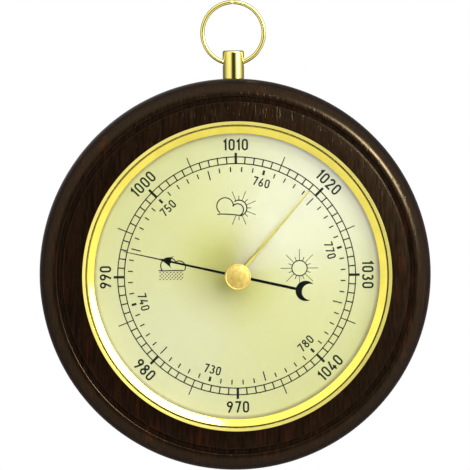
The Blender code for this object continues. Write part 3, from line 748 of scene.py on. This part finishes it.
def build_housing(brass):
    """A spun can with a flange on the case's land and an upturned rim. Its floor has a hole for the
    adjusting screw and three for the base plate's screws."""
    floor_top = CAN_BACK_Z + CAN_FLOOR_T
    corner = [(CAN_R - 1.0, CAN_BACK_Z), (CAN_R - 0.3, CAN_BACK_Z + 0.3), (CAN_R, CAN_BACK_Z + 1.0)]
    flange = [
        (CAN_R, FLANGE_Z - 0.05),
        (CAN_R + 0.15, FLANGE_Z),
        (RIM_R - 0.25, FLANGE_Z),
        (RIM_R, FLANGE_Z + 0.25),
    ]
    crown = [
        (RIM_R, RIM_TOP_Z - 0.3),
        (RIM_R - 0.1, RIM_TOP_Z - 0.08),
        (RIM_R - 0.22, RIM_TOP_Z),
        (RIM_INNER_R + 0.12, RIM_TOP_Z - 0.33),
        (RIM_INNER_R, RIM_TOP_Z - 0.51),
    ]
    inside = [(RIM_INNER_R, FLANGE_TOP_Z), (CAN_WALL_R, FLANGE_TOP_Z), (CAN_WALL_R, floor_top)]
    bm = turned([(0, CAN_BACK_Z)] + corner + flange + crown + inside + [(0, floor_top)], 256)
    made = piece("housing_spun_brass", bm, "case", brass, ("housing_can",))
    made.visible_shadow = False
    made.visible_glossy = False
    hole = drill(CAN_HOLE_R, CAN_BACK_Z - 1, floor_top + 1, 32)
    cut(made, rotated(hole, 0, (0, CAPSULE_Y, 0)))
    for deg in (0, 120, 240):
        hole = drill(BASE_SCREW_HOLE_R, CAN_BACK_Z - 1, floor_top + 1, 20)
        cut(made, rotated(hole, 0, (*polar(BASE_SCREW_CIRCLE_R, deg), 0)))


def build_bezel(brass):
    """A ring whose inner face slopes down to the glass from a crest at its outer edge."""
    slope_width, slope_rise, slope_foot_z = 2.95, 1.42, BEZEL_TOP_Z - 1.46
    crest = [(BEZEL_R, BEZEL_Z), (BEZEL_R, BEZEL_TOP_Z - 0.2), (BEZEL_R - 0.15, BEZEL_TOP_Z)]
    slope = [
        (BEZEL_INNER_R + slope_width * share, slope_foot_z + slope_rise * share**0.97)
        for share in [1 - i / 10 for i in range(10)]
    ]
    lip = [(BEZEL_INNER_R + 0.05, slope_foot_z - 0.04), (BEZEL_INNER_R, slope_foot_z - 0.18)]
    bm = turned([(BEZEL_INNER_R, BEZEL_Z)] + crest + slope + lip, 288)
    shadowless(piece("bezel_turned_ring", bm, "case", brass, ("bezel_ring",)))


def build_spacer(brass):
    """The ring between dial and glass."""
    low, high = cad("spacer_ring")[0][2], cad("spacer_ring")[1][2]
    profile = [
        (SPACER_INNER_R + 0.15, low),
        (STACK_R, low),
        (STACK_R, high),
        (SPACER_INNER_R + 0.15, high),
        (SPACER_INNER_R, high - 0.15),
        (SPACER_INNER_R, low + 0.15),
    ]
    bm = turned(profile, 256)
    shadowless(piece("spacer_turned_ring", bm, "case", brass, ("spacer_ring",)))


def build_glass(glass):
    """The flat glass, with a hole in the middle and chamfered edges."""
    outer, inner = 0.3, 0.15
    profile = [
        (GLASS_HOLE_R + inner, GLASS_LOW),
        (STACK_R - outer, GLASS_LOW),
        (STACK_R, GLASS_LOW + outer),
        (STACK_R, GLASS_TOP - outer),
        (STACK_R - outer, GLASS_TOP),
        (GLASS_HOLE_R + inner, GLASS_TOP),
        (GLASS_HOLE_R, GLASS_TOP - inner),
        (GLASS_HOLE_R, GLASS_LOW + inner),
    ]
    piece("dial_glass", turned(profile, 192), "case", glass, ("glass",))


def build_glass_bush(brass):
    """The flanged bush in the glass, in which the set spindle turns."""
    tube_r, flange_r, flange_t = 1.9, 3.4, 0.5
    low, top = GLASS_LOW - 0.3, GLASS_TOP + 0.3
    tube = [(SPINDLE_HOLE_R, low), (tube_r, low), (tube_r, top)]
    flange = [
        (flange_r - 0.2, top),
        (flange_r, top + 0.2),
        (flange_r, top + 0.4),
        (flange_r - 0.1, top + flange_t),
        (SPINDLE_HOLE_R, top + flange_t),
    ]
    bm = turned(tube + flange, 64)
    piece("glass_bush_turned", bm, "case", brass, ("glass_bush",))


# ---------------------------------------------------------------- hanger


def build_post(brass):
    """The post with its shank, cross-drilled for the ring."""
    edge_r = 0.9
    edge = arc(edge_r, 0, 90, 8, (POST_R - edge_r, POST_TOP_Y - edge_r))
    profile = [
        (0, SHANK_FOOT_Y),
        (SHANK_R - 0.5, SHANK_FOOT_Y),
        (SHANK_R, SHANK_FOOT_Y + 0.8),
        (SHANK_R, POST_FOOT_Y),
        (POST_R - 0.2, POST_FOOT_Y),
        (POST_R, POST_FOOT_Y + 0.2),
    ]
    bm = turned(profile + edge + [(0, POST_TOP_Y)], 96)
    bm.transform(UPRIGHT)
    made = piece("post_turned", bm, "case", brass, ("hanger_post",))
    hole = drill(RING_HOLE_R, -2 * POST_R, 2 * POST_R, 40)
    hole.transform(Matrix.Rotation(math.pi / 2, 4, "Y"))
    bmesh.ops.translate(hole, verts=hole.verts, vec=(0, RING_HOLE_Y, POST_Z))
    cut(made, hole)
    made.visible_glossy = False


def build_ring(brass):
    """Round wire with two flat ends that almost meet at the top."""
    bm = bmesh.new()
    start = math.radians(90 + RING_GAP_DEG / 2)
    sweep = TURN - math.radians(RING_GAP_DEG)
    steps, sides, end_share = 160, 24, 0.80
    rings = []
    for i in range(steps + 1):
        angle = start + sweep * i / steps
        wire = RING_WIRE_R * (end_share if i in (0, steps) else 1.0)
        row = []
        for outward, forward in circle(wire, sides):
            x = (RING_R + outward) * math.cos(angle)
            y = RING_MIDDLE_Y + (RING_R + outward) * math.sin(angle)
            row.append(bm.verts.new((x, y, POST_Z + forward)))
        rings.append(row)
    for before, after in zip(rings, rings[1:]):
        for k in range(sides):
            bm.faces.new((before[k], before[k - 1], after[k - 1], after[k]))
    bm.faces.new(rings[0])
    bm.faces.new(rings[-1][::-1])
    piece("ring_bent_wire", bm, "ring", brass, ("hanging_ring",))


# ---------------------------------------------------------------- hands


def build_knob(brass):
    """A low domed knob with a rolled edge and a blind bore for the spindle."""
    dome_rise, face_r, edge_r = 0.50, KNOB_R - 0.75, 0.34
    shoulder = KNOB_TOP_Z - dome_rise
    steps = 14
    dome = [(face_r * i / steps, KNOB_TOP_Z - dome_rise * (i / steps) ** 2) for i in range(steps + 1)]
    rim = arc(edge_r, 150, 0, 14, (KNOB_R - edge_r, shoulder - 0.20))
    skirt = [
        (KNOB_R, shoulder - 0.9),
        (KNOB_R, KNOB_Z + 0.7),
        (KNOB_R - 0.25, KNOB_Z + 0.2),
        (KNOB_R - 0.6, KNOB_Z),
    ]
    bore_top = KNOB_Z + KNOB_BORE_DEPTH
    bore = [(SPINDLE_HOLE_R, KNOB_Z), (SPINDLE_HOLE_R, bore_top), (0, bore_top)]
    bm = turned(dome + rim + skirt + bore, 128)
    shadowless(piece("knob_turned", bm, "set_knob_group", brass, ("set_knob",), 50))


def roof_strip(stations, low, edge, ridge, ridge_share):
    """A solid strip along +y, with an off-centre ridge on its face. A station is (y, half width)."""
    bm = bmesh.new()
    rows = []
    for along, half in stations:
        steep_side = [(-half, low), (-half, ridge - 0.12), (-half * ridge_share, ridge)]
        section = steep_side + [(half, edge), (half, low)]
        rows.append([bm.verts.new((x, along, z)) for x, z in section])
    for before, after in zip(rows, rows[1:]):
        for k in range(len(before)):
            bm.faces.new((before[k - 1], before[k], after[k], after[k - 1]))
    bm.faces.new(rows[0])
    bm.faces.new(rows[-1][::-1])
    return bm


def build_set_hand(brass):
    """A slim ridged pointer, a wider ridged root and a round boss."""
    group, slot, sharp_deg = "set_knob_group", "polished_brass", 10
    stations = [(2.2, 0.80), (11.0, 0.72), (24.0, 0.54), (47.8, 0.26), (49.0, 0.08)]
    blade = roof_strip(stations, SET_Z, SET_Z + 0.15, SET_TOP_Z, 0.2)
    piece("set_hand_pointer", rotated(blade, SET_DEG), group, brass, ("set_hand",), sharp_deg)
    stations = [(2.4, 1.0), (10.8, 0.94), (11.3, 0.72)]
    root = roof_strip(stations, SET_TOP_Z - 0.15, SET_TOP_Z - 0.1, SET_TOP_Z + 0.3, 0.4)
    piece("set_hand_root", rotated(root, SET_DEG), group, brass, (), sharp_deg)
    profile = [
        (SPINDLE_HOLE_R, SET_Z),
        (SET_BOSS_R - 0.1, SET_Z),
        (SET_BOSS_R, SET_Z + 0.1),
        (SET_BOSS_R, SET_TOP_Z - 0.1),
        (SET_BOSS_R - 0.1, SET_TOP_Z),
        (SPINDLE_HOLE_R, SET_TOP_Z),
    ]
    piece("set_hand_boss", turned(profile, 64), group, brass)


def pressure_outline():
    """The hand along +y: a needle, a swept arrowhead and, on the tail, a crescent open outwards."""
    tip, front, back, half, needle_half = 50.2, 33.7, 28.3, 2.8, 0.30
    edge = [(0.10, tip), (0.16, tip - 0.4), (0.27, front + 0.4)]
    for i in range(1, 9):
        share = i / 8
        flare = (half - needle_half) * share**1.35
        edge.append((needle_half + flare, front - (front - back) * share))
    notch = [(1.9, back + 0.75), (1.15, back + 1.05), (0.7, back + 1.0), (0.42, back + 0.75)]
    boss = arc(3.0, 79, -78, 24)
    centre, outer_r, bite_centre, bite_r = 30.5, 4.4, 32.4, 3.5
    apart = bite_centre - centre
    horn = (apart**2 + outer_r**2 - bite_r**2) / (2 * apart)
    outer_end = math.degrees(math.acos(horn / outer_r))
    bite_end = math.degrees(math.acos((horn - apart) / bite_r))
    outer = arc(outer_r, 82, -90 + outer_end, 24, (0.0, -centre))
    bite = arc(bite_r, -90 + bite_end, 90, 20, (0.0, -bite_centre))
    tail = [(0.62, -(centre - outer_r) + 0.3)]
    right_side = edge + notch + boss + tail + outer + bite[1:-1]
    left_side = [(-x, y) for x, y in reversed(right_side)]
    return right_side + [(0.0, bite[-1][1])] + left_side


def build_pressure_hand(black, brass):
    """The black hand and the small brass boss that it is pressed on to."""
    body, hole_r, boss_r = "pressure_arbor", 1.9, 1.6
    bm = rotated(plate(pressure_outline(), [circle(hole_r)], HAND_Z, HAND_TOP_Z), PRESSURE_DEG)
    made = piece("pressure_hand_blade", bm, body, black, ("pressure_hand",))
    softened(made, 0.09)
    shadowless(made)
    low, top = cad("hand_boss")[0][2], cad("hand_boss")[1][2]
    side = [(boss_r, low), (boss_r, top - 0.15), (boss_r - 0.15, top)]
    bm = turned([(ARBOR_HOLE_R, low)] + side + [(ARBOR_HOLE_R, top)], 48)
    piece("hand_boss_turned", bm, body, brass, ("hand_boss",))


# ---------------------------------------------------------------- dial and its print

RAIL_INNER, RAIL_OUTER = 48.63, 51.52
RAIL_LINE = 0.46
HPA_TOP = 1010
HPA_STEP_DEG = 4.5
HPA_BOLD_TO = 53.3
HPA_LONG_TO = 55.5
HPA_DIGITS_R = 56.8
HPA_DIGIT_H = 4.85
MMHG_FROM, MMHG_TO = 45.05, 47.15
MMHG_LONG_FROM = 42.95
MMHG_DIGITS_R = 41.85
MMHG_DIGIT_H = 3.7
MMHG_START = 760
MMHG_START_DEG = 15.1
MMHG_STEP_DEG = 6.0
BOLD_LINE, LONG_LINE, SHORT_LINE = 1.08, 0.44, 0.52
INK_LOW, INK_T = -0.02, 0.06


def build_dial(dial):
    """The flat dial, with a hole in the middle for the arbor."""
    low = DIAL_Z - DIAL_T
    profile = [(DIAL_HOLE_R, low), (STACK_R, low), (STACK_R, DIAL_Z), (DIAL_HOLE_R, DIAL_Z)]
    piece("dial_disc", turned(profile, 192), "case", dial, ("dial_plate",))


def ribbon(bm, path, width, closed=False):
    """A flat printed line along a path of (x, y), a closed solid that stands just proud."""
    half = width / 2
    count = len(path)
    low, high = DIAL_Z + INK_LOW, DIAL_Z + INK_T
    rows = []
    for i, here in enumerate(path):
        here = Vector(here)
        before = Vector(path[i - 1]) if closed or i > 0 else None
        after = Vector(path[(i + 1) % count]) if closed or i < count - 1 else None
        into = (here - before).normalized() if before is not None else None
        out = (after - here).normalized() if after is not None else None
        into = into or out
        out = out or into
        along = (into + out).normalized()
        side = Vector((-along.y, along.x))
        reach = half / max(0.35, side.dot(Vector((-into.y, into.x))))
        left = here + side * reach
        right = here - side * reach
        rows.append(
            [
                bm.verts.new((left.x, left.y, low)),
                bm.verts.new((left.x, left.y, high)),
                bm.verts.new((right.x, right.y, high)),
                bm.verts.new((right.x, right.y, low)),
            ]
        )
    pairs = list(zip(rows, rows[1:]))
    if closed:
        pairs.append((rows[-1], rows[0]))
    for before, after in pairs:
        for k in range(4):
            bm.faces.new((before[k - 1], before[k], after[k], after[k - 1]))
    if not closed:
        bm.faces.new(rows[0])
        bm.faces.new(rows[-1][::-1])


def tick(bm, clockwise_deg, from_r, to_r, width):
    """A printed line along a radius."""
    ribbon(bm, [polar(from_r, clockwise_deg), polar(to_r, clockwise_deg)], width)


def build_hpa_scale(ink):
    """The outer scale: 970 to 1049 once round, between two rails."""
    bm = bmesh.new()
    ribbon(bm, circle(RAIL_INNER, 320), RAIL_LINE, closed=True)
    ribbon(bm, circle(RAIL_OUTER, 320), RAIL_LINE, closed=True)
    for hpa in range(970, 1050):
        deg = (hpa - HPA_TOP) * HPA_STEP_DEG
        if hpa % 10 == 0:
            tick(bm, deg, RAIL_INNER - 0.15, HPA_BOLD_TO, BOLD_LINE)
        elif hpa % 5 == 0:
            tick(bm, deg, RAIL_INNER, HPA_LONG_TO, LONG_LINE)
        else:
            tick(bm, deg, RAIL_INNER, RAIL_OUTER, SHORT_LINE)
    piece("print_hpa_scale", bm, "case", ink)


def build_mmhg_scale(ink):
    """The inner scale: 60 ticks once round, which start at 760."""
    bm = bmesh.new()
    for step in range(60):
        deg = MMHG_START_DEG + MMHG_STEP_DEG * step
        if step % 10 == 0:
            tick(bm, deg, MMHG_FROM, MMHG_TO, BOLD_LINE - 0.08)
        elif step % 5 == 0:
            tick(bm, deg, MMHG_LONG_FROM, MMHG_TO, LONG_LINE + 0.04)
        else:
            tick(bm, deg, MMHG_FROM, MMHG_TO, SHORT_LINE)
    piece("print_mmhg_scale", bm, "case", ink)


def digit_strokes(digit):
    """(box width, open paths, closed paths) of an engineering digit one unit high."""
    low, high, bend_r = 0.062, 0.938, 0.20
    left, right, middle, wide = 0.062, 0.458, 0.26, 0.52
    if digit == "0":
        top = arc(bend_r, 0, 180, 11, (middle, high - bend_r))
        return wide, [], [top + arc(bend_r, 180, 360, 11, (middle, low + bend_r))]
    if digit == "1":
        return 0.26, [[(0.015, 0.745), (0.19, high - 0.02), (0.19, 0.0)]], []
    if digit == "2":
        bowl = arc(bend_r, 180, -28, 12, (middle, high - bend_r))
        return wide, [bowl + [(left + 0.02, low), (right + 0.06, low)]], []
    if digit == "3":
        upper = arc(0.185, 150, -90, 11, (middle - 0.005, high - 0.185))
        lower = arc(0.225, 90, -155, 13, (middle - 0.02, low + 0.225))
        return wide, [upper, lower], []
    if digit == "4":
        hook = [(0.31, 1.0), (left - 0.01, 0.27), (0.53, 0.27)]
        return 0.54, [hook, [(0.37, 0.47), (0.37, 0.0)]], []
    if digit == "5":
        bowl = arc(0.225, 118, -150, 13, (0.235, low + 0.235))
        return wide, [[(right - 0.01, high), (0.11, high), (0.10, 0.53)] + bowl[1:]], []
    if digit in "69":
        loop = circle(bend_r, 20, (middle, low + bend_r))
        joint = arc(bend_r, 155, 180, 4, (middle, low + bend_r + 0.02))
        stem = [(0.37, 1.0), (0.20, 0.66)] + joint
        if digit == "9":
            loop, stem = ([(wide - x, 1.0 - y) for x, y in path] for path in (loop, stem))
        return wide, [stem], [loop]
    if digit == "7":
        return wide, [[(0.03, high), (0.47, high), (0.20, 0.0)]], []
    upper = circle(0.175, 18, (middle, high - 0.175))
    lower = circle(0.215, 20, (middle, low + 0.215))
    return wide, [], [upper, lower]


def number(bm, text, clockwise_deg, radius, height, tops_out):
    """A number set straight across the radius at this angle."""
    gap, stroke = 0.20, 0.160 * height
    glyphs = [digit_strokes(digit) for digit in text]
    width = sum(glyph[0] for glyph in glyphs) + gap * (len(glyphs) - 1)
    angle = math.radians(clockwise_deg)
    up = Vector((math.sin(angle), math.cos(angle)))
    middle = up * radius
    if not tops_out:
        up = -up
    right = Vector((up.y, -up.x))
    across = -width / 2
    for box, opens, loops in glyphs:
        for paths, closed in ((opens, False), (loops, True)):
            for path in paths:
                placed = [
                    tuple(middle + (right * (across + x) + up * (y - 0.5)) * height)
                    for x, y in path
                ]
                ribbon(bm, placed, stroke, closed)
        across += box + gap


def build_numbers(ink):
    """The numbers of both scales. Those in the lower part stand the other way up."""
    bm = bmesh.new()
    for hpa in range(970, 1050, 10):
        tops_out = hpa not in (970, 980, 1040)
        deg = (hpa - HPA_TOP) * HPA_STEP_DEG
        number(bm, str(hpa), deg, HPA_DIGITS_R, HPA_DIGIT_H, tops_out)
    for mmhg in range(730, 790, 10):
        tops_out = mmhg in (750, 760, 770)
        deg = MMHG_START_DEG + (mmhg - MMHG_START) * MMHG_STEP_DEG
        number(bm, str(mmhg), deg, MMHG_DIGITS_R, MMHG_DIGIT_H, tops_out)
    piece("print_numbers", bm, "case", ink)


def sun_rays(bm, centre, from_r, to_r, first_deg, eighths, width):
    """A sun's rays, at these eighths of a turn from the first direction."""
    for eighth in eighths:
        angle = math.radians(first_deg + 45.0 * eighth)
        way = Vector((math.cos(angle), math.sin(angle)))
        ribbon(bm, [tuple(Vector(centre) + way * r) for r in (from_r, to_r)], width)


LONG_RAY, SHORT_RAY, CLOUD_LINE = 0.25, 0.30, 0.47


def draw_fair(bm):
    """A sun with eight long and eight short rays."""
    sun, sun_r = (27.2, 3.1), 3.3
    ribbon(bm, circle(sun_r, 48, sun), 0.44, closed=True)
    sun_rays(bm, sun, sun_r + 0.2, 8.2, 0.0, range(8), LONG_RAY)
    sun_rays(bm, sun, sun_r + 0.2, 5.1, 22.5, range(8), SHORT_RAY)


def draw_changeable(bm):
    """A sun half hidden by a cloud."""
    sun, sun_r = (1.2, 29.4), 3.4
    ribbon(bm, arc(sun_r, 126, -82, 40, sun), 0.48)
    sun_rays(bm, sun, sun_r + 0.2, 7.8, 22.5, (0, 1, 2, -1, -2, -3), LONG_RAY)
    sun_rays(bm, sun, sun_r + 0.2, 5.3, 0.0, (0, 1, 2, -1, -2), SHORT_RAY)
    ribbon(bm, arc(3.6, 232, -3, 36, (-4.8, 30.3)), CLOUD_LINE)
    ribbon(bm, arc(2.6, 145, -62, 26, (0.55, 28.65)), CLOUD_LINE)
    ribbon(bm, [(-8.2, 26.75), (-6.4, 26.9), (-2.6, 26.72), (2.6, 26.1)], CLOUD_LINE)


def draw_rain(bm):
    """A cloud over five rows of short slanting dashes."""
    ribbon(bm, arc(3.5, 222, 20, 34, (-29.4, 4.7)), CLOUD_LINE)
    ribbon(bm, arc(2.7, 135, -33, 24, (-24.9, 4.1)), CLOUD_LINE)
    ribbon(bm, [(-33.8, 2.65), (-31.6, 2.55), (-27.0, 2.65), (-22.95, 2.58)], CLOUD_LINE)
    first_x, first_y, across, down = -33.2, 2.02, 1.5, 0.74
    for row in range(5):
        for column in range(7):
            x = first_x + across * (column + 0.5 * (row % 2))
            y = first_y - down * row
            ribbon(bm, [(x + 0.2, y), (x - 0.2, y - 0.46)], 0.42)


def build_symbols(ink):
    """Three plain weather signs: fair at the right, changeable at the top, rain at the left."""
    bm = bmesh.new()
    draw_fair(bm)
    draw_changeable(bm)
    draw_rain(bm)
    piece("print_weather_signs", bm, "case", ink)


# ---------------------------------------------------------------- back


def slotted_screw(node, body, material, at, head, shank, slot_deg):
    """A screw that stands for this CAD node. Its head points at the back and starts at this place.
    Head and shank are given as (radius, length)."""
    head_r, head_t = head
    shank_r, shank_l = shank
    edge_r = 0.25
    tip = [(0, -shank_l), (shank_r * 0.6, -shank_l), (shank_r, -shank_l + 0.8), (shank_r, 0)]
    crown = [(head_r, 0)] + arc(edge_r, 0, 90, 5, (head_r - edge_r, head_t - edge_r))
    bm = turned(tip + crown + [(0, head_t)], 48)
    bm.transform(Matrix.Translation(at) @ Matrix.Rotation(math.pi, 4, "X"))
    made = piece(node + "_slotted", bm, body, material, (node,))
    half_l, half_w = head_r * 1.3, head_r * 0.16
    box = [(-half_l, -half_w), (half_l, -half_w), (half_l, half_w), (-half_l, half_w)]
    groove = plate(box, [], -head_t - 1.0, -head_t * 0.5)
    cut(made, rotated(groove, slot_deg, at))


def build_back(board, steel, brass):
    """The fibre-board cover, its four screws and the adjusting screw behind its access hole."""
    holes = [
        circle(COVER_SCREW_HOLE_R, 40, polar(COVER_SCREW_CIRCLE_R, 45 + 90 * i)) for i in range(4)
    ]
    holes.append(circle(ACCESS_R, 48, (0.0, CAPSULE_Y)))
    bm = plate(circle(COVER_R, 192), holes, 0.0, COVER_T)
    made = piece("back_board", bm, "case", board, ("back_cover",))
    softened(made, 0.25)
    for i in range(4):
        node = f"cover_screw_{i + 1}"
        low, high = cad(node)
        at = ((low[0] + high[0]) / 2, (low[1] + high[1]) / 2, COVER_SCREW_HEAD_Z)
        slotted_screw(node, "case", steel, at, (2.1, 1.3), (1.0, 7.7), 30 + 50 * i)
    low, high = cad("adjusting_screw")
    head = (2.6, 1.2)
    at = (0.0, CAPSULE_Y, low[2] + head[1])
    shank = (1.8, high[2] - at[2])
    slotted_screw("adjusting_screw", "adjuster", brass, at, head, shank, 20.0)


# ---------------------------------------------------------------- movement


def dress_movement(brass, steel, nickel):
    """Gives every CAD node its metal. Those that no piece replaces are in the housing or under the knob."""
    nickel_names = ("capsule_lower", "capsule_upper")
    brass_names = ("pinion", "hairspring_collet", "hairspring_stud")
    steel_words = ("screw", "spindle", "washer", "arbor", "staff", "shaft", "pin", "hairspring")
    for name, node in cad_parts.items():
        if name in nickel_names:
            finish = nickel
        elif name not in brass_names and any(word in name for word in steel_words):
            finish = steel
        else:
            finish = brass
        node.data.materials.clear()
        node.data.materials.append(finish)


# ---------------------------------------------------------------- assembly

add_camera()
add_world()
bpy.context.scene.view_settings.view_transform = "Standard"
COOL = (0.86, 0.93, 1.0)
KEY_LIGHT = add_softbox("key_light", (0.92, -1.00, 0.76), (1.7, 0.85), 34.0, "gloss", COOL, -50.0)
SIDE_LIGHT = add_softbox("side_light", (0.70, -1.36, 0.42), (0.34, 0.34), 30.0, "gloss")
add_softbox("back_light", (-0.5, 1.0, 1.1), (0.9, 0.9), 9.0, "diffuse")
add_floor()

WOOD = wood_material()
BRASS = brass_material("polished_brass", (0.92, 0.80, 0.21), 0.13)
BEZEL_BRASS = brass_material("bezel_brass", (0.92, 0.78, 0.13), 0.11)
MOVEMENT_BRASS = brass_material("movement_brass", (0.78, 0.60, 0.27), 0.30, 0.1)
STEEL = steel_material()

dress_movement(MOVEMENT_BRASS, STEEL, nickel_material())
CASE = build_case(WOOD)
light_link(KEY_LIGHT, CASE, "EXCLUDE")
light_link(SIDE_LIGHT, CASE, "INCLUDE")
build_housing(BRASS)
build_bezel(BEZEL_BRASS)
build_spacer(BRASS)
build_glass(glass_material())
build_glass_bush(BRASS)
build_post(BRASS)
build_ring(BRASS)
build_knob(satin_material())
build_set_hand(BRASS)
build_pressure_hand(black_material(), MOVEMENT_BRASS)
build_dial(dial_material())
INK = ink_material()
build_hpa_scale(INK)
build_mmhg_scale(INK)
build_numbers(INK)
build_symbols(INK)
build_back(board_material(), STEEL, MOVEMENT_BRASS)
